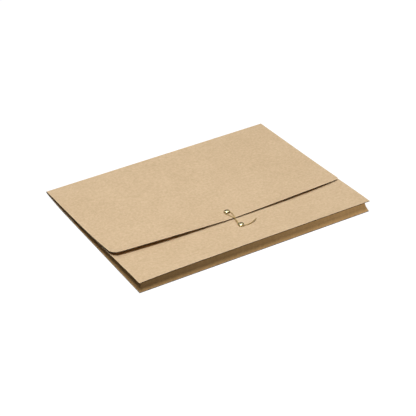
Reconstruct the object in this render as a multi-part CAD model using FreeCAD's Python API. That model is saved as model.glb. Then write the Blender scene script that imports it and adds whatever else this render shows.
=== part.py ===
import FreeCAD, Part
import math
import os

from FreeCAD import Placement, Rotation, Vector

# A document wallet of kraft card with a gusseted pocket, closed by a string wound on two rivets.
# Millimetres, +Z up. It lies on its back: X runs along the hinge fold, Y from the pocket's
# closed front edge (-) to the hinge fold (+), and Z = 0 is the surface that it lies on.

# Sheets
WIDTH = 320.0  # along the hinge fold, the same for the back, the flap and the pocket's front panel
DEPTH = 240.0  # front edge to hinge fold
CARD = 0.8  # thickness of the back, the flap and the front panel
FOLD_INNER_RADIUS = 0.35  # the hinge fold is pressed nearly flat
POCKET_DEPTH = 166.0  # front edge to the pocket's mouth
FLAP_LENGTH = 178.0  # hinge fold to the flap's free edge
FLAP_CORNER_LEFT = 10.0  # radii of its two cut corners
FLAP_CORNER_RIGHT = 5.0

# How the sheets lie
HINGE_LIFT_LEFT = 3.2  # the back's underside at the hinge, above the surface
HINGE_LIFT_RIGHT = 6.9
CURL_SETBACK = 14.0  # the back is flat under the pocket and curls up from this far behind it
TIED_HEIGHT = 9.3  # top of the flap's free edge where the string holds it down
CORNER_HEIGHT_LEFT = 16.75  # the free edge springs up to these heights at the flap's corners
CORNER_HEIGHT_RIGHT = 14.45
TIE_BEND = 15.0  # half the width of the soft bend under the string
FLAP_STRAIGHT_LEFT = 0.45  # share of the flap's rise that is even; the rest is near its free edge
FLAP_STRAIGHT_RIGHT = 0.80
FLAP_SPRING = 5  # the power that gathers the rest of the rise at the free edge
FRONT_HEIGHT = 15.2  # top of the front panel along the front edge
CORNER_DROOP = 1.5  # the front panel's left corner hangs this much lower
DROOP_REACH = 25.0
MOUTH_GAP = 0.7  # flap above front panel, at the ends of the pocket's mouth
MOUTH_DIP = 1.1  # the mouth's middle hangs this much lower than its ends
SAG_BREADTH_LEFT, SAG_BREADTH_RIGHT = 3.0, 4.2  # 2 is a parabola, and more is flatter
TIE_GAP = 0.9  # flap above front panel, at the string
REST_GAP = 0.35  # the least that the flap and its rivet's cap stay above the front panel
REST_BLEND = 0.2  # how softly the front panel turns where they hold it down
CAP_DENT = 25.0  # radius of the dent round the rivet's cap
EDGE_RELEASE = 0.3  # how steeply the panel may rise past the flap's free edge

# Gusset
GUSSET_CARD = 0.5
GUSSET_TAB = 12.0  # glued under the front panel and on the back
GUSSET_EDGE = 0.3  # the bottom fold lies this far inside the back's edge
GUSSET_OVERHANG = 5.0  # the front panel reaches this far past the top fold
CREASE_SHARE = 0.4  # height of the crease that lets the gusset fold flat
CREASE_INSET = 2.8
GLUE = 0.1  # film between glued sheets

# Rough shapes, before they are trimmed
GRID_ACROSS = 21  # points that a curved sheet follows along the hinge and square to it
GRID_ALONG = 13
SPARE = 1.0  # reach of a rough shape past what trims it
TALL = 100.0  # height of a trimming block, far more than the wallet's

# String and rivets
STRING_DIAMETER = 1.1
TIE_X = 3.0
FLAP_RIVET_SETBACK = 15.0  # behind the flap's free edge
PANEL_RIVET_SETBACK = 17.1  # in front of the flap's free edge
HEAD_DIAMETER = 7.2
HEAD_RIM = 0.5  # height of the head's upright edge
HEAD_CROWN = 0.8
NECK_DIAMETER = 5.6
NECK_SPARE = 0.55  # height of the neck beyond the string that it takes
POST_DIAMETER = 2.4
POST_CLEARANCE = 0.15  # hole in the card, all round
BACK_CAP_DIAMETER = 7.0
BACK_CAP_THICKNESS = 0.6
BACK_CAP_BEVEL = 0.25
SOCKET_DEPTH = 0.35  # the post ends in the back cap's socket
SOCKET_CLEARANCE = 0.05
SEAT_CLEARANCE = 0.08  # rivet parts to card
BEND_REACH = 0.45  # share of the shorter run beside a bend of the string that the bend takes

# The string's route, from its end under the panel rivet's head, over the flap's edge, round the
# flap rivet, back over itself and round the panel rivet's near side, to its loose tip.
STRING_ROUTE = [
    (2.20, -72.10, 9.18),
    (3.45, -65.70, 9.60),
    (4.25, -60.20, 10.05),
    (-0.70, -42.30, 9.70),
    (1.05, -39.85, 9.62),
    (4.02, -39.40, 9.60),
    (6.28, -41.28, 9.66),
    (6.95, -50.20, 10.20),
    (3.90, -59.00, 11.60),
    (1.45, -69.60, 9.18),
    (-0.83, -75.53, 9.46),
    (1.30, -78.50, 9.76),
    (6.50, -78.60, 9.74),
    (10.70, -78.90, 9.72),
    (14.90, -78.50, 9.80),
    (18.70, -77.20, 10.10),
    (21.90, -75.90, 10.50),
    (24.90, -74.70, 11.00),
]

FRONT_Y = -DEPTH / 2
HINGE_Y = DEPTH / 2
FREE_Y = HINGE_Y - FLAP_LENGTH
MOUTH_Y = FRONT_Y + POCKET_DEPTH
CURL_Y = MOUTH_Y + CURL_SETBACK
FOLD_OUTER_RADIUS = FOLD_INNER_RADIUS + CARD
FOLD_Y = HINGE_Y - FOLD_OUTER_RADIUS
FLAP_RIVET_Y = FREE_Y + FLAP_RIVET_SETBACK
PANEL_RIVET_Y = FREE_Y - PANEL_RIVET_SETBACK


def across(x, left, right):
    """The value at x of what changes evenly from the left edge to the right one."""
    return left + (right - left) * (x / WIDTH + 0.5)


def hinge_underside(x):
    return across(x, HINGE_LIFT_LEFT, HINGE_LIFT_RIGHT)


def back_top(x, y):
    """The back is flat under the pocket, and its last stretch curls up to the hinge fold."""
    curl = max(0.0, y - CURL_Y) / (FOLD_Y - CURL_Y)
    return CARD + hinge_underside(x) * curl**2


def free_edge_top(x):
    """The flap's free edge is held down by the string and springs up towards its corners."""
    side, corner_height = (-1, CORNER_HEIGHT_LEFT) if x < TIE_X else (1, CORNER_HEIGHT_RIGHT)
    corner_reach = math.hypot(side * WIDTH / 2 - TIE_X, TIE_BEND) - TIE_BEND
    share = (math.hypot(x - TIE_X, TIE_BEND) - TIE_BEND) / corner_reach
    return TIED_HEIGHT + (corner_height - TIED_HEIGHT) * share


def flap_top(x, y):
    hinge_top = hinge_underside(x) + 2 * FOLD_OUTER_RADIUS
    straight = across(x, FLAP_STRAIGHT_LEFT, FLAP_STRAIGHT_RIGHT)
    along = (FOLD_Y - y) / (FOLD_Y - FREE_Y)
    rise = straight * along + (1 - straight) * along**FLAP_SPRING
    return hinge_top + (free_edge_top(x) - hinge_top) * rise


def panel_side(x, along):
    """Height of the front panel without its sag; along is 0 at the mouth and 1 at the front."""
    mouth_left = flap_top(-WIDTH / 2, MOUTH_Y) - CARD - MOUTH_GAP
    mouth_right = flap_top(WIDTH / 2, MOUTH_Y) - CARD - MOUTH_GAP
    mouth = across(x, mouth_left, mouth_right)
    return mouth + (FRONT_HEIGHT - mouth) * (along + math.sin(math.pi / 2 * along) ** 2) / 2


def sag_shape(along):
    """The share of the sag down the pocket: none at either end, and all of it at two thirds."""
    return 27 / 4 * along**2 * (1 - along)


def panel_sag():
    """How deep the string pulls the front panel's middle down, to lie under the flap's edge."""
    along = (MOUTH_Y - FREE_Y) / POCKET_DEPTH
    lies_at = TIED_HEIGHT - CARD - TIE_GAP
    return (panel_side(TIE_X, along) - MOUTH_DIP * (1 - along) - lies_at) / sag_shape(along)


PANEL_SAG = panel_sag()


def under_flap(x, y):
    """As high as the front panel may lie: under the flap, with a dent round its rivet's cap."""
    near_cap = math.exp(-((x - TIE_X) ** 2 + (y - FLAP_RIVET_Y) ** 2) / CAP_DENT**2)
    cap = (SEAT_CLEARANCE + BACK_CAP_THICKNESS) * near_cap
    release = EDGE_RELEASE * max(0.0, FREE_Y - y)
    return flap_top(x, max(y, FREE_Y)) - CARD - REST_GAP - cap + release


def panel_top(x, y):
    """The panel springs up between the mouth and the front, as far as the flap lets it."""
    along = (MOUTH_Y - y) / POCKET_DEPTH
    beside = abs(2 * x / WIDTH)
    breadth = SAG_BREADTH_LEFT if x < 0 else SAG_BREADTH_RIGHT
    dip = MOUTH_DIP * (1 - along) * (1 - beside**2)
    sag = PANEL_SAG * sag_shape(along) * (1 - beside**breadth)
    droop = CORNER_DROOP * along**2 * math.exp(-(x + WIDTH / 2) / DROOP_REACH)
    free = panel_side(x, along) - dip - sag - droop
    held = under_flap(x, y)
    return (free + held - math.hypot(free - held, REST_BLEND)) / 2


def spread(first, last, count):
    return [first + (last - first) * i / (count - 1) for i in range(count)]


def curved_sheet(top, y_first, y_last, thickness):
    """A sheet as wide as the wallet, whose upper face follows top(x, y)."""
    grid = [
        [Vector(x, y, top(x, y)) for y in spread(y_first, y_last, GRID_ALONG)]
        for x in spread(-WIDTH / 2, WIDTH / 2, GRID_ACROSS)
    ]
    surface = Part.BSplineSurface()
    surface.interpolate(grid)
    return surface.toShape().extrude(Vector(0, 0, -thickness))


def flap_outline():
    """A block over the flap's plan, with its two free corners rounded."""
    block = Part.makeBox(WIDTH, FLAP_LENGTH, TALL, Vector(-WIDTH / 2, FREE_Y, -TALL / 2))
    for side, radius in ((-1, FLAP_CORNER_LEFT), (1, FLAP_CORNER_RIGHT)):
        corner = Part.Vertex(side * WIDTH / 2, FREE_Y, 0)
        upright = [edge for edge in block.Edges if edge.distToShape(corner)[0] < SEAT_CLEARANCE]
        block = block.makeFillet(radius, upright)
    return block


def hinge_fold():
    """Half a ring in section, run along the hinge, which rises from left to right."""
    centre = Vector(-WIDTH / 2, FOLD_Y, HINGE_LIFT_LEFT + FOLD_OUTER_RADIUS)
    outer, inner = (
        [centre + Vector(0, r * math.cos(a), r * math.sin(a)) for a in (-math.pi / 2, 0, math.pi / 2)]
        for r in (FOLD_OUTER_RADIUS, FOLD_INNER_RADIUS)
    )
    section = Part.Wire(
        [
            Part.Arc(*outer).toShape(),
            Part.LineSegment(outer[2], inner[2]).toShape(),
            Part.Arc(*reversed(inner)).toShape(),
            Part.LineSegment(inner[0], outer[0]).toShape(),
        ]
    )
    return Part.Face(section).extrude(Vector(WIDTH, 0, HINGE_LIFT_RIGHT - HINGE_LIFT_LEFT))


def turned(points_and_arcs):
    """A solid turned about Z from a closed outline of (r, z) points; an arc is three of them."""
    edges = []
    for run in points_and_arcs:
        ends = [Vector(r, 0, z) for r, z in run]
        edge = Part.LineSegment(*ends) if len(ends) == 2 else Part.Arc(*ends)
        edges.append(edge.toShape())
    return Part.Face(Part.Wire(edges)).revolve(Vector(0, 0, 0), Vector(0, 0, 1), 360)


def crown_arc(radius, rim_z, crown_z):
    """The outline of a shallow spherical crown, from its rim in to the axis."""
    height = crown_z - rim_z
    sphere = (radius**2 + height**2) / (2 * height)
    half_way = math.asin(radius / sphere) / 2
    middle = (sphere * math.sin(half_way), crown_z - sphere * (1 - math.cos(half_way)))
    return [(radius, rim_z), middle, (0, crown_z)]


def seat(top, y):
    """Where a rivet sits at TIE_X: on the card's upper face and square to it."""
    step = HEAD_DIAMETER / 2
    slope_x = (top(TIE_X + step, y) - top(TIE_X - step, y)) / (2 * step)
    slope_y = (top(TIE_X, y + step) - top(TIE_X, y - step)) / (2 * step)
    square = Rotation(Vector(0, 0, 1), Vector(-slope_x, -slope_y, 1))
    return Placement(Vector(TIE_X, y, top(TIE_X, y)), square)


FLAP_SEAT = seat(flap_top, FLAP_RIVET_Y)
PANEL_SEAT = seat(panel_top, PANEL_RIVET_Y)


def post_hole(place):
    radius = POST_DIAMETER / 2 + POST_CLEARANCE
    depth = CARD + 2 * SPARE
    return placed(Part.makeCylinder(radius, depth, Vector(0, 0, -CARD - SPARE)), place)


def wallet_body():
    """The back, the hinge fold and the flap are one folded sheet."""
    flat = Part.makeBox(WIDTH, CURL_Y - FRONT_Y, CARD, Vector(-WIDTH / 2, FRONT_Y, 0))
    curl = curved_sheet(back_top, CURL_Y, FOLD_Y, CARD)
    flap = curved_sheet(flap_top, FREE_Y, FOLD_Y, CARD).common(flap_outline())
    sheet = flat.fuse([curl, hinge_fold(), flap])
    return sheet.cut(post_hole(FLAP_SEAT))


def front_panel():
    panel = curved_sheet(panel_top, FRONT_Y, MOUTH_Y, CARD)
    return panel.cut(post_hole(PANEL_SEAT))


def below_panel(x, y):
    return panel_top(x, y) - CARD - GLUE


def u_corners(inset, height):
    """Four corners inset from three edges of the wallet, and open past the pocket's mouth."""
    x = WIDTH / 2 - inset
    y_front = FRONT_Y + inset
    y_back = MOUTH_Y + SPARE
    corners = [(-x, y_front), (x, y_front), (x, y_back), (-x, y_back)]
    return [Vector(px, py, height(px, min(py, MOUTH_Y))) for px, py in corners]


def ruled(a, b, c, d):
    """The straight-sided face between the line a-b and the line d-c."""
    return Part.makeRuledSurface(Part.LineSegment(a, b).toShape(), Part.LineSegment(d, c).toShape())


def gusset_filling(inward):
    """What the gusset's walls enclose: from the bottom fold in to the crease and on up."""
    bottom = CARD + GLUE

    def crease(x, y):
        return bottom + CREASE_SHARE * (below_panel(x, y) - bottom)

    def past_fold(x, y):
        """In line with the wall, as far again past the top fold, where the panel trims it."""
        return 2 * below_panel(x, y) - crease(x, y)

    levels = [
        u_corners(GUSSET_EDGE + inward, lambda x, y: bottom),
        u_corners(CREASE_INSET + inward, crease),
        u_corners(2 * GUSSET_OVERHANG - CREASE_INSET + inward, past_fold),
    ]
    faces = [ruled(*levels[0]), ruled(*levels[-1])]
    for low, high in zip(levels, levels[1:]):
        for i in range(4):
            faces.append(ruled(low[i], low[i - 1], high[i - 1], high[i]))
    shell = Part.makeShell(faces)
    shell.sewShape()
    filling = Part.Solid(shell)
    return filling if filling.Volume > 0 else filling.reversed()


def u_block(inset, low, high):
    """A block whose plan is what lies inside an inset, to open the gusset between its tabs."""
    corners = u_corners(inset, lambda x, y: low)
    plan = Part.Face(Part.makePolygon(corners + corners[:1]))
    return plan.extrude(Vector(0, 0, high - low))


def gusset():
    """One strip folded round three sides, with a tab glued to each panel."""
    tab_top = CARD + GLUE + GUSSET_CARD
    between_tabs = tab_top + SPARE

    def below_tab(x, y):
        return below_panel(x, y) - GUSSET_CARD

    outer, inner = (
        gusset_filling(inward).common(curved_sheet(underside, FRONT_Y, MOUTH_Y, TALL))
        for inward, underside in ((0.0, below_panel), (GUSSET_CARD, below_tab))
    )
    hollow = inner.cut(u_block(0.0, 0.0, tab_top))
    top_opening = u_block(GUSSET_OVERHANG + GUSSET_TAB, between_tabs, TALL)
    bottom_opening = u_block(GUSSET_EDGE + GUSSET_TAB, 0.0, between_tabs)
    return outer.cut([hollow, top_opening, bottom_opening])


def rivet():
    """Domed head, neck that takes one turn of string, and post; Z = 0 is the card's upper face."""
    head = HEAD_DIAMETER / 2
    neck = NECK_DIAMETER / 2
    post = POST_DIAMETER / 2
    shoulder = SEAT_CLEARANCE
    under_head = STRING_DIAMETER + NECK_SPARE
    rim_top = under_head + HEAD_RIM
    crown = rim_top + HEAD_CROWN
    post_end = -CARD - SEAT_CLEARANCE - SOCKET_DEPTH
    return turned(
        [
            [(0, post_end), (post, post_end)],
            [(post, post_end), (post, shoulder)],
            [(post, shoulder), (neck, shoulder)],
            [(neck, shoulder), (neck, under_head)],
            [(neck, under_head), (head, under_head)],
            [(head, under_head), (head, rim_top)],
            crown_arc(head, rim_top, crown),
            [(0, crown), (0, post_end)],
        ]
    )


def rivet_back():
    """The flat cap under the card, which the post is pressed into."""
    edge = BACK_CAP_DIAMETER / 2
    flat = edge - BACK_CAP_BEVEL
    socket = POST_DIAMETER / 2 + SOCKET_CLEARANCE
    top = -CARD - SEAT_CLEARANCE
    socket_end = top - SOCKET_DEPTH - SOCKET_CLEARANCE
    bottom = top - BACK_CAP_THICKNESS
    bevel_top = bottom + BACK_CAP_BEVEL
    return turned(
        [
            [(0, socket_end), (socket, socket_end)],
            [(socket, socket_end), (socket, top)],
            [(socket, top), (edge, top)],
            [(edge, top), (edge, bevel_top)],
            [(edge, bevel_top), (flat, bottom)],
            [(flat, bottom), (0, bottom)],
            [(0, bottom), (0, socket_end)],
        ]
    )


def placed(shape, place):
    shape.Placement = place
    return shape


def string_path(points):
    """Straight runs joined by tangent arcs, each as large as its two runs allow."""
    points = [Vector(*p) for p in points]
    edges = []
    start = points[0]
    for before, corner, after in zip(points, points[1:], points[2:]):
        way_in = (before - corner).normalize()
        way_out = (after - corner).normalize()
        half_turn = (math.pi - way_in.getAngle(way_out)) / 2
        reach = BEND_REACH * min((before - corner).Length, (after - corner).Length)
        radius = reach / math.tan(half_turn)
        bisector = (way_in + way_out).normalize()
        middle = corner + bisector * radius * (1 / math.cos(half_turn) - 1)
        arc_start = corner + way_in * reach
        arc_end = corner + way_out * reach
        edges.append(Part.LineSegment(start, arc_start).toShape())
        edges.append(Part.Arc(arc_start, middle, arc_end).toShape())
        print("string radius %.2f, turn %.0f degrees" % (radius, math.degrees(2 * half_turn)))
        start = arc_end
    edges.append(Part.LineSegment(start, points[-1]).toShape())
    return Part.Wire(edges)


def tie_string():
    path = string_path(STRING_ROUTE)
    first = path.Edges[0]
    section = Part.makeCircle(STRING_DIAMETER / 2, first.Vertexes[0].Point, first.tangentAt(0))
    string = path.makePipeShell([Part.Wire(section)], True, False)
    print("string length %.1f, volume %.2f, section times length %.2f" % (
        path.Length, string.Volume, math.pi * STRING_DIAMETER**2 / 4 * path.Length))
    return string


def export_all():
    nodes = {
        "wallet_body": wallet_body(),
        "front_panel": front_panel(),
        "gusset": gusset(),
        "flap_rivet": placed(rivet(), FLAP_SEAT),
        "flap_rivet_back": placed(rivet_back(), FLAP_SEAT),
        "panel_rivet": placed(rivet(), PANEL_SEAT),
        "panel_rivet_back": placed(rivet_back(), PANEL_SEAT),
        "tie_string": tie_string(),
    }
    os.makedirs("parts", exist_ok=True)
    for name, shape in nodes.items():
        shape.exportStep("parts/%s.step" % name)
        print("%s: %d solid, valid %s, volume %.1f" % (
            name, len(shape.Solids), shape.isValid(), shape.Volume))


export_all()
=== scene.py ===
# %% [markdown]
# # A kraft card document wallet
#
# The real object is a folded sheet of kraft card with a gusseted pocket, and it is closed by a
# string that is wound round two rivets. Its exact shape comes from a CAD model, which is loaded
# here as a fixed frame. The card pieces keep their CAD shape. The string and the two rivets are
# made again in finer detail, every piece gets its finish, and a plain studio goes round it all.
# Lengths are in metres, as the frame's are, and MM is one millimetre.

# %% Load the frame
import math

import bmesh
import bpy
from mathutils import Matrix, Vector


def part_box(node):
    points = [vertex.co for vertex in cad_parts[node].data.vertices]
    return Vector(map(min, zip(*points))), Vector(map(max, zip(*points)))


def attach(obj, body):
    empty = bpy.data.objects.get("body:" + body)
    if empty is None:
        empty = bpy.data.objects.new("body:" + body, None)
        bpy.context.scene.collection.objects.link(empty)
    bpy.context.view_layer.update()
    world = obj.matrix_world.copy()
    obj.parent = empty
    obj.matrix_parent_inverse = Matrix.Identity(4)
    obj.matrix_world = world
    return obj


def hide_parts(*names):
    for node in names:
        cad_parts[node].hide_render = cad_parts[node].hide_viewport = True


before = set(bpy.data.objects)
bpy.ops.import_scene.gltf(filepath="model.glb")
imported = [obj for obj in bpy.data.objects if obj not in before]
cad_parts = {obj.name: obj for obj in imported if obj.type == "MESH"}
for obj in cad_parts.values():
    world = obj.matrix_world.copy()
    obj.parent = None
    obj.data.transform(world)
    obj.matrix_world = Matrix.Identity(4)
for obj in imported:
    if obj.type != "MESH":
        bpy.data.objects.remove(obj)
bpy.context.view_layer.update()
MM = 0.001
scene = bpy.context.scene
print("nodes:", sorted(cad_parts))

# %% [markdown]
# ## Camera
#
# A wallet that lies on a desk is seen from above one corner. The camera could be turned with
# angles, but it is simpler to say where it stands and what it looks at: to_track_quat then gives
# the rotation that points its own -Z axis at that spot and keeps the view upright. A long lens
# from far away keeps the two long sides of the wallet nearly parallel.

# %% Place the camera
CAMERA_PLACE = Vector((-0.68686, -1.12396, 0.84438))
CAMERA_TARGET = Vector((-0.00416, -0.01132, 0.00038))
LENS = 109.6
SENSOR_WIDTH = 36.0


def add_object(name, data):
    """A new object that shows the data, linked to the scene."""
    holder = bpy.data.objects.new(name, data)
    scene.collection.objects.link(holder)
    return holder


def point_at(holder, target):
    """Turns a camera or a lamp that is already in its place towards the target."""
    holder.rotation_euler = (target - holder.location).to_track_quat("-Z", "Y").to_euler()


camera = add_object("camera", bpy.data.cameras.new("camera"))
camera.data.lens = LENS
camera.data.sensor_width = SENSOR_WIDTH
camera.location = CAMERA_PLACE
point_at(camera, CAMERA_TARGET)
scene.camera = camera
scene.view_settings.view_transform = "Standard"
print("camera distance, m:", round((CAMERA_TARGET - CAMERA_PLACE).length, 3))

# %% [markdown]
# ## The string's route
#
# One end of the string is held under the head of the rivet on the pocket. From there it runs up
# over the flap's edge, once round the rivet on the flap, back across itself, round the first
# rivet's near side, and ends in a loose tip that springs up a little. A NURBS curve is a good way
# to draw it, because it is smooth everywhere and needs only a few points. Its order is set after
# the points are there, since Blender can't give a curve a higher order than it has points.

# %% Draw the string's line, from points in millimetres
STRING_DIAMETER = 1.1 * MM
STRING_ROUTE = [
    (2.20, -72.03, 9.18),
    (3.45, -65.70, 9.60),
    (4.25, -60.20, 10.05),
    (-1.25, -42.50, 9.70),
    (1.02, -39.82, 9.62),
    (4.05, -39.36, 9.60),
    (6.55, -41.35, 9.66),
    (6.95, -50.20, 10.20),
    (3.90, -59.00, 11.60),
    (1.45, -69.60, 9.18),
    (-0.98, -75.55, 9.46),
    (1.30, -78.50, 9.76),
    (6.50, -78.60, 9.74),
    (10.70, -78.90, 9.72),
    (14.90, -78.50, 9.80),
    (18.70, -77.20, 10.10),
    (21.90, -75.90, 10.50),
    (24.90, -74.70, 11.00),
]
LINE_STEPS = 12


def smooth_line(name, points):
    """A smooth open curve near the points, with no thickness."""
    curve = bpy.data.curves.new(name, "CURVE")
    curve.dimensions = "3D"
    spline = curve.splines.new("NURBS")
    spline.points.add(len(points) - 1)
    for target, point in zip(spline.points, points):
        target.co = (*(Vector(point) * MM), 1.0)
    spline.order_u = 3
    spline.use_endpoint_u = True
    spline.resolution_u = LINE_STEPS
    return curve


def mesh_of_curve(curve):
    """What Blender draws for a curve, as a mesh."""
    holder = add_object(curve.name, curve)
    bpy.context.view_layer.update()
    mesh = bpy.data.meshes.new_from_object(holder)
    bpy.data.objects.remove(holder)
    return mesh


string_path = [v.co.copy() for v in mesh_of_curve(smooth_line("tie_line", STRING_ROUTE)).vertices]

# %% [markdown]
# ## Twisting three plies
#
# Thin tying string is two or three plies twisted round each other, and the twist is what the eye
# knows it by. It could be painted on a round tube, but real plies catch the light along their
# ridges and give the string its notched outline. Each ply here is a thin tube round its own line,
# and that line winds round the string's centre once in every few millimetres. For an even twist,
# the centre is first marked off in equal steps. The direction "sideways" then has to turn with the
# route and never flip, so it is carried along from point to point: at each one, only the part of
# it that leans along the new direction is taken away.

# %% Mark off the string's centre in equal steps
TWIST_LENGTH = 4.2 * MM
STEPS_PER_TWIST = 12


def evenly_spaced(points, step):
    """Points at equal distances along a line that is given by many close points."""
    spaced = [points[0]]
    for point in points[1:]:
        while (point - spaced[-1]).length >= step:
            spaced.append(spaced[-1].lerp(point, step / (point - spaced[-1]).length))
    return spaced


string_step = TWIST_LENGTH / STEPS_PER_TWIST
string_centres = evenly_spaced(string_path, string_step)
print("centres:", len(string_centres), "step, mm:", round(string_step / MM, 2))

# %% Wind the plies round it
FULL_TURN = 2 * math.pi
UP = Vector((0, 0, 1))
PLY_COUNT = 3
PLY_SHARE = 0.56
PLY_DIAMETER = PLY_SHARE * STRING_DIAMETER
PLY_OFFSET = (STRING_DIAMETER - PLY_DIAMETER) / 2
PLY_ROUNDNESS = 2


def carried_sideways(points):
    """Each point, with its direction and a steady sideways direction."""
    sideways = UP
    for i, point in enumerate(points):
        ahead = (points[min(i + 1, len(points) - 1)] - points[max(i - 1, 0)]).normalized()
        sideways = (sideways - ahead * sideways.dot(ahead)).normalized()
        yield point, ahead, sideways


def ply_points(points, step, turn):
    """The line of one ply, which starts at an angle of turn round the centre."""
    for i, (point, ahead, sideways) in enumerate(carried_sideways(points)):
        angle = turn + FULL_TURN * i * step / TWIST_LENGTH
        yield point + Matrix.Rotation(angle, 3, ahead) @ sideways * PLY_OFFSET


def add_ply(curve, points):
    """One more run of straight steps in the curve, close enough together to look round."""
    spline = curve.splines.new("POLY")
    points = list(points)
    spline.points.add(len(points) - 1)
    for target, point in zip(spline.points, points):
        target.co = (*point, 1.0)


plies = bpy.data.curves.new("plies", "CURVE")
plies.dimensions = "3D"
plies.bevel_depth = PLY_DIAMETER / 2
plies.bevel_resolution = PLY_ROUNDNESS
plies.use_fill_caps = True
for ply in range(PLY_COUNT):
    add_ply(plies, ply_points(string_centres, string_step, FULL_TURN * ply / PLY_COUNT))
print("plies:", len(plies.splines), "of", round(PLY_DIAMETER / MM, 2), "mm")

# %% Make the string one mesh
string_mesh = mesh_of_curve(plies)
string_mesh.shade_smooth()
tie_string = add_object("tie_string_plies", string_mesh)
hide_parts("tie_string")
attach(tie_string, "root")
print("string faces:", len(string_mesh.polygons))

# %% [markdown]
# ## Rivets
#
# Each rivet is a small stamped metal button: a flat head with an upright rim, a sloping shoulder
# and a slightly domed crown, a neck that the string goes round, and a post through the card. A
# sphere cut by a plane would do for the head, but it would have no rim and no shoulder to catch
# the light. The button is round, so half of its outline is enough. The crown is spun out of the
# shoulder's upper corner, the outline's outer corners are rounded with a vertex bevel, and a full
# spin then turns the outline into the whole button.

# %% Draw half of a rivet's outline
head_low, head_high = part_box("flap_rivet")
HEAD_RADIUS = (head_high.x - head_low.x) / 2
NECK_RADIUS = 2.8 * MM
POST_RADIUS = 1.2 * MM
SHOULDER_RADIUS = 3.0 * MM
POST_DEPTH = 1.23 * MM
NECK_FOOT = 0.08 * MM
NECK_HEIGHT = 1.73 * MM
RIM_HEIGHT = 0.35 * MM
SHOULDER_HEIGHT = 2.58 * MM
HEAD_HEIGHT = 2.95 * MM
CROWN_STEPS = 12
ROUNDING = 0.13 * MM
ROUNDING_STEPS = 3
SAME_POINT = 0.001 * MM


def rivet_outline(bed):
    """The half outline, from the end of the post up to the middle of the dome."""
    corners = [
        (0.0, -POST_DEPTH),
        (POST_RADIUS, -POST_DEPTH),
        (POST_RADIUS, NECK_FOOT),
        (NECK_RADIUS, NECK_FOOT),
        (NECK_RADIUS, NECK_HEIGHT),
        (HEAD_RADIUS, NECK_HEIGHT),
        (HEAD_RADIUS, NECK_HEIGHT + RIM_HEIGHT),
        (SHOULDER_RADIUS, SHOULDER_HEIGHT),
    ]
    chain = [bed.verts.new((radius, 0.0, height)) for radius, height in corners]
    for low, high in zip(chain, chain[1:]):
        bed.edges.new((low, high))
    crown_height = HEAD_HEIGHT - SHOULDER_HEIGHT
    ball = (SHOULDER_RADIUS**2 + crown_height**2) / (2 * crown_height)
    bmesh.ops.spin(bed, geom=[chain[-1]], axis=(0, -1, 0), cent=(0, 0, HEAD_HEIGHT - ball),
                   angle=math.asin(SHOULDER_RADIUS / ball), steps=CROWN_STEPS, use_merge=False)
    bmesh.ops.remove_doubles(bed, verts=bed.verts, dist=SAME_POINT)
    rim = [v for v in bed.verts if v.co.x > SHOULDER_RADIUS - SAME_POINT]
    bmesh.ops.bevel(bed, geom=rim, offset=ROUNDING, offset_type="OFFSET",
                    segments=ROUNDING_STEPS, profile=0.5, affect="VERTICES", material=-1)


print("head, mm across:", round(2 * HEAD_RADIUS / MM, 2), "high:", round(HEAD_HEIGHT / MM, 2))

# %% [markdown]
# ## Setting the rivets
#
# A rivet stands square to the card, and the card slopes under it, so each rivet leans a little.
# Its lean could be written down as an angle, but it is safer to read it from the CAD model. A
# rivet is widest at its rim, so the box round it is centred sideways on the rim's middle. The cap
# behind the card is a disc, so its box is centred on it. How far the first centre lies to the side
# of the second gives the lean, and the seat is the spot on the card that the neck stands over.

# %% Spin, lean and place each rivet
RIM_MIDDLE = 1.98 * MM
CAP_DEPTH = 1.18 * MM
ROUND_STEPS = 64


def rivet_seat(node, back_node):
    """The middle of a rivet's seat on the card, and its upright direction."""
    rim_middle = sum(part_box(node), Vector()) / 2
    cap_middle = sum(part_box(back_node), Vector()) / 2
    lean = (rim_middle - cap_middle).xy / (RIM_MIDDLE + CAP_DEPTH)
    upright = Vector((*lean, math.sqrt(1 - lean.length_squared)))
    return cap_middle + upright * CAP_DEPTH, upright


def rivet(name, node, back_node):
    """A domed rivet that stands for the CAD node, in line with the cap behind it."""
    bed = bmesh.new()
    rivet_outline(bed)
    bmesh.ops.spin(bed, geom=bed.verts[:] + bed.edges[:], axis=UP, cent=(0, 0, 0),
                   angle=FULL_TURN, steps=ROUND_STEPS, use_merge=True)
    bmesh.ops.remove_doubles(bed, verts=bed.verts, dist=SAME_POINT)
    bmesh.ops.recalc_face_normals(bed, faces=bed.faces)
    seat, upright = rivet_seat(node, back_node)
    bmesh.ops.rotate(bed, verts=bed.verts, cent=(0, 0, 0),
                     matrix=UP.rotation_difference(upright).to_matrix())
    bmesh.ops.translate(bed, verts=bed.verts, vec=seat)
    mesh = bpy.data.meshes.new(name)
    bed.to_mesh(mesh)
    bed.free()
    mesh.shade_smooth()
    piece = add_object(name, mesh)
    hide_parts(node)
    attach(piece, "root")
    print(name, "leans", round(math.degrees(upright.angle(UP)), 1), "degrees")
    return piece


rivets = [
    rivet("flap_rivet_domed", "flap_rivet", "flap_rivet_back"),
    rivet("panel_rivet_domed", "panel_rivet", "panel_rivet_back"),
]

# %% [markdown]
# ## Tools for a finish
#
# A finish is a few noises, each stretched to a useful range and then used to mix colours, to set
# the roughness or to raise the surface. The same few nodes come back in every finish, so each gets
# a small function. They could be built by hand in the shader editor, but functions keep the sizes
# of the marks in one place. A constant goes straight on the shader's own socket.


# %% Start a finish, and find a place on a piece
def new_finish(name):
    """An empty material with its shader joined to its output."""
    material = bpy.data.materials.new(name)
    material.use_nodes = True
    nodes = material.node_tree.nodes
    nodes.clear()
    shader = nodes.new("ShaderNodeBsdfPrincipled")
    output = nodes.new("ShaderNodeOutputMaterial")
    material.node_tree.links.new(shader.outputs["BSDF"], output.inputs["Surface"])
    return material, shader


def wire(material, source, target):
    """Joins an output to an input."""
    material.node_tree.links.new(source, target)


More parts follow.
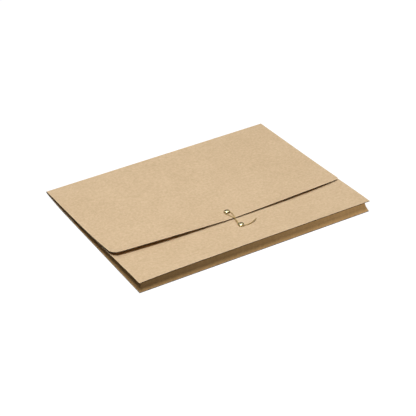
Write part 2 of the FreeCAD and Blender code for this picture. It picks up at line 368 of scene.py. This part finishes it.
def object_point(material, scale=(1, 1, 1), turn=0.0):
    """Object coordinates, scaled and turned about Z."""
    nodes = material.node_tree.nodes
    place = nodes.new("ShaderNodeTexCoord")
    mapping = nodes.new("ShaderNodeMapping")
    mapping.inputs["Rotation"].default_value = (0, 0, turn)
    mapping.inputs["Scale"].default_value = scale
    wire(material, place.outputs["Object"], mapping.inputs["Vector"])
    return mapping.outputs["Vector"]


# %% Make a noise, and stretch it to a range
def noise(material, point, scale, detail=2.0, roughness=0.5):
    """Noise about 0.5, with marks that are 1 / scale across."""
    texture = material.node_tree.nodes.new("ShaderNodeTexNoise")
    texture.inputs["Scale"].default_value = scale
    texture.inputs["Detail"].default_value = detail
    texture.inputs["Roughness"].default_value = roughness
    wire(material, point, texture.inputs["Vector"])
    return texture.outputs["Fac"]


def ramp(material, value, low, high, out_low=0.0, out_high=1.0):
    """Stretches a value between low and high to a new range, and clamps it."""
    node = material.node_tree.nodes.new("ShaderNodeMapRange")
    node.inputs["From Min"].default_value = low
    node.inputs["From Max"].default_value = high
    node.inputs["To Min"].default_value = out_low
    node.inputs["To Max"].default_value = out_high
    wire(material, value, node.inputs["Value"])
    return node.outputs["Result"]


def maths(material, operation, first, second=0.0):
    """One step of arithmetic on two values, each a number or an output."""
    node = material.node_tree.nodes.new("ShaderNodeMath")
    node.operation = operation
    for socket, value in zip(node.inputs, (first, second)):
        if isinstance(value, (int, float)):
            socket.default_value = value
        else:
            wire(material, value, socket)
    return node.outputs["Value"]


print("noise scale for marks of 3 mm:", round(1 / (3 * MM)))


# %% Mix two colours, and raise the surface
def tinted(material, share, base, tint):
    """The base colour where share is 0, and the tint where it is 1."""
    node = material.node_tree.nodes.new("ShaderNodeMix")
    node.data_type = "RGBA"
    wire(material, share, node.inputs["Factor"])
    for letter, colour in (("A", base), ("B", tint)):
        socket = next(s for s in node.inputs if s.name == letter and s.type == "RGBA")
        if isinstance(colour, tuple):
            socket.default_value = (*colour, 1.0)
        else:
            wire(material, colour, socket)
    return next(s for s in node.outputs if s.type == "RGBA")


def bumped(material, shader, height, distance, strength):
    """Makes the surface look up to a distance higher where height is 1."""
    node = material.node_tree.nodes.new("ShaderNodeBump")
    node.inputs["Distance"].default_value = distance
    node.inputs["Strength"].default_value = strength
    wire(material, height, node.inputs["Height"])
    wire(material, node.outputs["Normal"], shader.inputs["Normal"])


print("materials so far:", len(bpy.data.materials))

# %% [markdown]
# ## Kraft card
#
# Kraft card is unbleached wood pulp: a warm tan with soft clouds, a fine mottle, and long fibres
# that lie every way and show paler. Each of these is a noise of its own size. A fibre is noise
# that is stretched along one direction. The patterns read Object coordinates, which are metres
# here, so a noise scale of 330 makes marks of about three millimetres. A much finer noise, the
# grain, raises the surface a little through a Bump node. The cut edges are painted nearly black:
# that is painted shade, for the shadow in the gap under the flap's edge and under the pocket's
# edges. The gusset is thinner paper of a browner kind, with small upright creases, so its pattern
# is drawn out along Z. What shows of it is one folded strip, so it gets no painted shade on cuts.

# %% Find the fibres, and the cut edges that get painted shade
FIBRE_SCALE = 420
FIBRE_STRETCH = 7
FIBRE_RANGE = (0.66, 0.74)
# How much a side's normal points up or down, and back: past the first number of a pair it is no
# cut, and under the second it is fully one.
CUT_UP = (0.35, 0.2)
CUT_BACK = (0.3, 0.1)


def fibres(material, turn):
    """Thin streaks along one direction, 1 on a fibre and 0 elsewhere."""
    point = object_point(material, scale=(1, FIBRE_STRETCH, 1), turn=turn)
    return ramp(material, noise(material, point, FIBRE_SCALE, detail=1.0), *FIBRE_RANGE)


def cut_shade_mask(material):
    """1 on the upright sides where the card was cut and shade is painted, and 0 on its faces and
    its rear fold.
    """
    place = material.node_tree.nodes.new("ShaderNodeTexCoord")
    split = material.node_tree.nodes.new("ShaderNodeSeparateXYZ")
    wire(material, place.outputs["Normal"], split.inputs["Vector"])
    upright = ramp(material, maths(material, "ABSOLUTE", split.outputs["Z"]), *CUT_UP)
    ahead = ramp(material, split.outputs["Y"], *CUT_BACK)
    return maths(material, "MULTIPLY", upright, ahead)


print("a fibre, mm:", round(1 / FIBRE_SCALE / MM, 1), "by",
      round(1 / FIBRE_SCALE / FIBRE_STRETCH / MM, 1))

# %% Mix the kraft card
# Painted shade: a near-black colour that stands for the shadow at the card's cut edges.
CUT_SHADE_COLOUR = (0.020, 0.012, 0.007)
CLOUD_SCALE, CLOUD_RANGE, CLOUD_SHARE = 45, (0.3, 0.7), 0.25
MOTTLE_SCALE, MOTTLE_RANGE, MOTTLE_SHARE = 330, (0.32, 0.68), 0.75
FIBRE_TURNS = (0.2, 1.3, 2.4)
FIBRE_STRENGTH = 0.35
GRAIN_SCALE, GRAIN_DEPTH, GRAIN_STRENGTH = 1500, 0.05 * MM, 0.5
CARD_ROUGHNESS = (0.78, 0.9)
CARD_SHINE = 0.08


def kraft_card(name, pulp, dark_pulp, pale_fibre, upright=1.0, paint_cut_shade=True):
    """Kraft card. An upright under 1 draws its pattern out along Z, and the last argument paints
    shade, nearly black, on the sides where it was cut."""
    material, shader = new_finish(name)
    point = object_point(material, scale=(1, 1, upright))
    clouds = noise(material, point, CLOUD_SCALE, detail=3.0)
    clouds = ramp(material, clouds, *CLOUD_RANGE)
    mottle = noise(material, point, MOTTLE_SCALE, detail=5.0, roughness=0.65)
    mottle = ramp(material, mottle, *MOTTLE_RANGE)
    share = maths(material, "ADD", maths(material, "MULTIPLY", clouds, CLOUD_SHARE),
                  maths(material, "MULTIPLY", mottle, MOTTLE_SHARE))
    colour = tinted(material, share, dark_pulp, pulp)
    for turn in FIBRE_TURNS:
        streaks = maths(material, "MULTIPLY", fibres(material, turn), FIBRE_STRENGTH)
        colour = tinted(material, streaks, colour, pale_fibre)
    # Painted shade: the cut sides are mixed towards near black, for the shadow there.
    if paint_cut_shade:
        colour = tinted(material, cut_shade_mask(material), colour, CUT_SHADE_COLOUR)
    wire(material, colour, shader.inputs["Base Color"])
    roughness = ramp(material, mottle, 0.0, 1.0, *CARD_ROUGHNESS)
    wire(material, roughness, shader.inputs["Roughness"])
    shader.inputs["Specular IOR Level"].default_value = CARD_SHINE
    grain = noise(material, point, GRAIN_SCALE, detail=3.0, roughness=0.6)
    bumped(material, shader, grain, GRAIN_DEPTH, GRAIN_STRENGTH)
    return material


card_finish = kraft_card(
    "kraft_card",
    pulp=(0.750, 0.566, 0.368),
    dark_pulp=(0.590, 0.424, 0.250),
    pale_fibre=(0.80, 0.64, 0.45),
)
gusset_finish = kraft_card(
    "gusset_card",
    pulp=(0.700, 0.430, 0.185),
    dark_pulp=(0.570, 0.338, 0.135),
    pale_fibre=(0.75, 0.50, 0.25),
    upright=0.12,
    paint_cut_shade=False,
)
print("finishes:", card_finish.name, gusset_finish.name)

# %% [markdown]
# ## Metal and thread
#
# The rivets are nickel-plated with a yellow, brassy cast, and fine wear dulls them a little. One
# colour and one roughness would look like new chrome, so a fine noise stands for the scuffs, and
# it shifts the colour, the roughness and the height together. The string is waxed thread,
# gold-brown, with a low shine. Its strands are too fine to model, so an even finer noise tints and
# raises the plies.

# %% Mix the metal and the thread
METAL_COLOUR, SCUFFED_COLOUR = (0.72, 0.64, 0.39), (0.54, 0.46, 0.24)
METAL_ROUGHNESS = (0.14, 0.26)
SCUFF_SCALE, SCUFF_RANGE, SCUFF_DEPTH, SCUFF_STRENGTH = 1800, (0.3, 0.75), 0.01 * MM, 0.3
DARK_THREAD, PALE_THREAD = (0.37, 0.25, 0.075), (0.64, 0.46, 0.19)
THREAD_ROUGHNESS = 0.5
THREAD_FUZZ = 0.2
STRAND_SCALE, STRAND_RANGE, STRAND_DEPTH, STRAND_STRENGTH = 2500, (0.3, 0.7), 0.03 * MM, 0.6


def rivet_metal(name):
    """Plated metal that is darker and rougher where it is scuffed."""
    material, shader = new_finish(name)
    scuffs = noise(material, object_point(material), SCUFF_SCALE, detail=4.0)
    scuffs = ramp(material, scuffs, *SCUFF_RANGE)
    colour = tinted(material, scuffs, METAL_COLOUR, SCUFFED_COLOUR)
    wire(material, colour, shader.inputs["Base Color"])
    roughness = ramp(material, scuffs, 0.0, 1.0, *METAL_ROUGHNESS)
    wire(material, roughness, shader.inputs["Roughness"])
    shader.inputs["Metallic"].default_value = 1.0
    bumped(material, shader, scuffs, SCUFF_DEPTH, SCUFF_STRENGTH)
    return material


def waxed_thread(name):
    """Waxed thread, whose strands show as small raised, paler marks."""
    material, shader = new_finish(name)
    strands = noise(material, object_point(material), STRAND_SCALE, detail=3.0)
    strands = ramp(material, strands, *STRAND_RANGE)
    colour = tinted(material, strands, DARK_THREAD, PALE_THREAD)
    wire(material, colour, shader.inputs["Base Color"])
    shader.inputs["Roughness"].default_value = THREAD_ROUGHNESS
    shader.inputs["Sheen Weight"].default_value = THREAD_FUZZ
    bumped(material, shader, strands, STRAND_DEPTH, STRAND_STRENGTH)
    return material


metal_finish = rivet_metal("rivet_nickel")
thread_finish = waxed_thread("waxed_thread")
print("finishes:", metal_finish.name, thread_finish.name)

# %% [markdown]
# ## Dressing the pieces
#
# The card sheets and the caps behind the rivets come from the frame with one plain material each,
# and the new pieces have none yet. Faces of one piece could have different finishes, but each of
# these pieces is of one stuff. So its list is emptied, and the finish is then the only one in it.


# %% Give each piece its finish
def dress(piece, finish):
    """The piece gets this finish and no other."""
    piece.data.materials.clear()
    piece.data.materials.append(finish)


for node, finish in (
    ("wallet_body", card_finish),
    ("front_panel", card_finish),
    ("gusset", gusset_finish),
    ("flap_rivet_back", metal_finish),
    ("panel_rivet_back", metal_finish),
):
    dress(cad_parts[node], finish)
for piece in rivets:
    dress(piece, metal_finish)
dress(tie_string, thread_finish)

# %% [markdown]
# ## Lamps
#
# Three soft lamps light the wallet. One hangs overhead, a little in front of the gusset, so the
# gusset is dark under the pocket's overhang and lighter below. A large one behind gives the metal
# its bright streak. A small one stands on the floor at the front corner, about as low as the
# pocket, so it reaches the gusset and hardly anything else. One big lamp would be simpler, but it
# would hide the gusset's crease and leave the metal dull.

# %% Hang the lamps
LAMP_TARGET = Vector((0, 0, 0))


def soft_lamp(name, place, length, width, power):
    """A flat lamp that faces straight down and can't be seen itself."""
    lamp = bpy.data.lights.new(name, "AREA")
    lamp.shape = "RECTANGLE"
    lamp.size = length
    lamp.size_y = width
    lamp.energy = power
    holder = add_object(name, lamp)
    holder.location = place
    holder.visible_camera = False
    return holder


lamps = [
    soft_lamp("overhead_lamp", (-0.28, -0.25, 1.60), length=0.7, width=0.4, power=22.4),
    soft_lamp("corner_lamp", (0.37, -0.44, 0.010), length=0.25, width=0.016, power=0.78),
    soft_lamp("back_lamp", (0.51, 0.84, 1.26), length=2.4, width=0.4, power=8.2),
]
for lamp in lamps[1:]:  # the first one faces straight down
    point_at(lamp, LAMP_TARGET)
print("lamps, W:", [round(lamp.data.energy, 2) for lamp in lamps])

# %% [markdown]
# ## Room and floor
#
# The room is dim, and a little brighter to the camera and in the metal. Turning up the lamps until
# the floor is white would wash out the card, so the floor is grey to the lamps and glows only to
# rays that come from the camera, or that metal or glass sends on. It still takes the wallet's
# shadow, and it is wide enough to reach the horizon in all but the lowest views.

# %% Dim the room
ROOM_LIGHT = 0.04
ROOM_SEEN = 0.20
WHITE = (1, 1, 1, 1)


def seen_directly(tree):
    """1 for rays from the camera or from a mirror-like or clear surface, and 0 for the rest."""
    path = tree.nodes.new("ShaderNodeLightPath")
    total = path.outputs["Is Camera Ray"]
    for name in ("Is Glossy Ray", "Is Transmission Ray"):
        larger = tree.nodes.new("ShaderNodeMath")
        larger.operation = "MAXIMUM"
        tree.links.new(total, larger.inputs[0])
        tree.links.new(path.outputs[name], larger.inputs[1])
        total = larger.outputs["Value"]
    return total


def dim_room():
    """A room that is dim as a light, and paler to look at and in the metal."""
    world = bpy.data.worlds.new("dim_room")
    world.use_nodes = True
    tree = world.node_tree
    background = tree.nodes["Background"]
    background.inputs["Color"].default_value = WHITE
    level = tree.nodes.new("ShaderNodeMapRange")
    level.inputs["To Min"].default_value = ROOM_LIGHT
    level.inputs["To Max"].default_value = ROOM_SEEN
    tree.links.new(seen_directly(tree), level.inputs["Value"])
    tree.links.new(level.outputs["Result"], background.inputs["Strength"])
    scene.world = world


dim_room()
print("room as a light:", ROOM_LIGHT, "to look at:", ROOM_SEEN)

# %% Lay the floor
FLOOR_SIZE = 60.0
FLOOR_COLOUR = (0.15, 0.15, 0.15, 1)
FLOOR_GLOW = 0.92


def white_floor():
    """A wide floor that looks white and throws hardly any light back on the wallet."""
    bed = bmesh.new()
    bmesh.ops.create_grid(bed, x_segments=1, y_segments=1, size=FLOOR_SIZE / 2)
    mesh = bpy.data.meshes.new("floor")
    bed.to_mesh(mesh)
    bed.free()
    floor = add_object("floor", mesh)
    material = bpy.data.materials.new("floor")
    material.use_nodes = True
    tree = material.node_tree
    shader = tree.nodes["Principled BSDF"]
    shader.inputs["Base Color"].default_value = FLOOR_COLOUR
    shader.inputs["Roughness"].default_value = 1.0
    shader.inputs["Specular IOR Level"].default_value = 0.0
    shader.inputs["Emission Color"].default_value = WHITE
    glow = tree.nodes.new("ShaderNodeMath")
    glow.operation = "MULTIPLY"
    glow.inputs[1].default_value = FLOOR_GLOW
    tree.links.new(seen_directly(tree), glow.inputs[0])
    tree.links.new(glow.outputs["Value"], shader.inputs["Emission Strength"])
    dress(floor, material)


white_floor()
print("floor, m across:", FLOOR_SIZE)
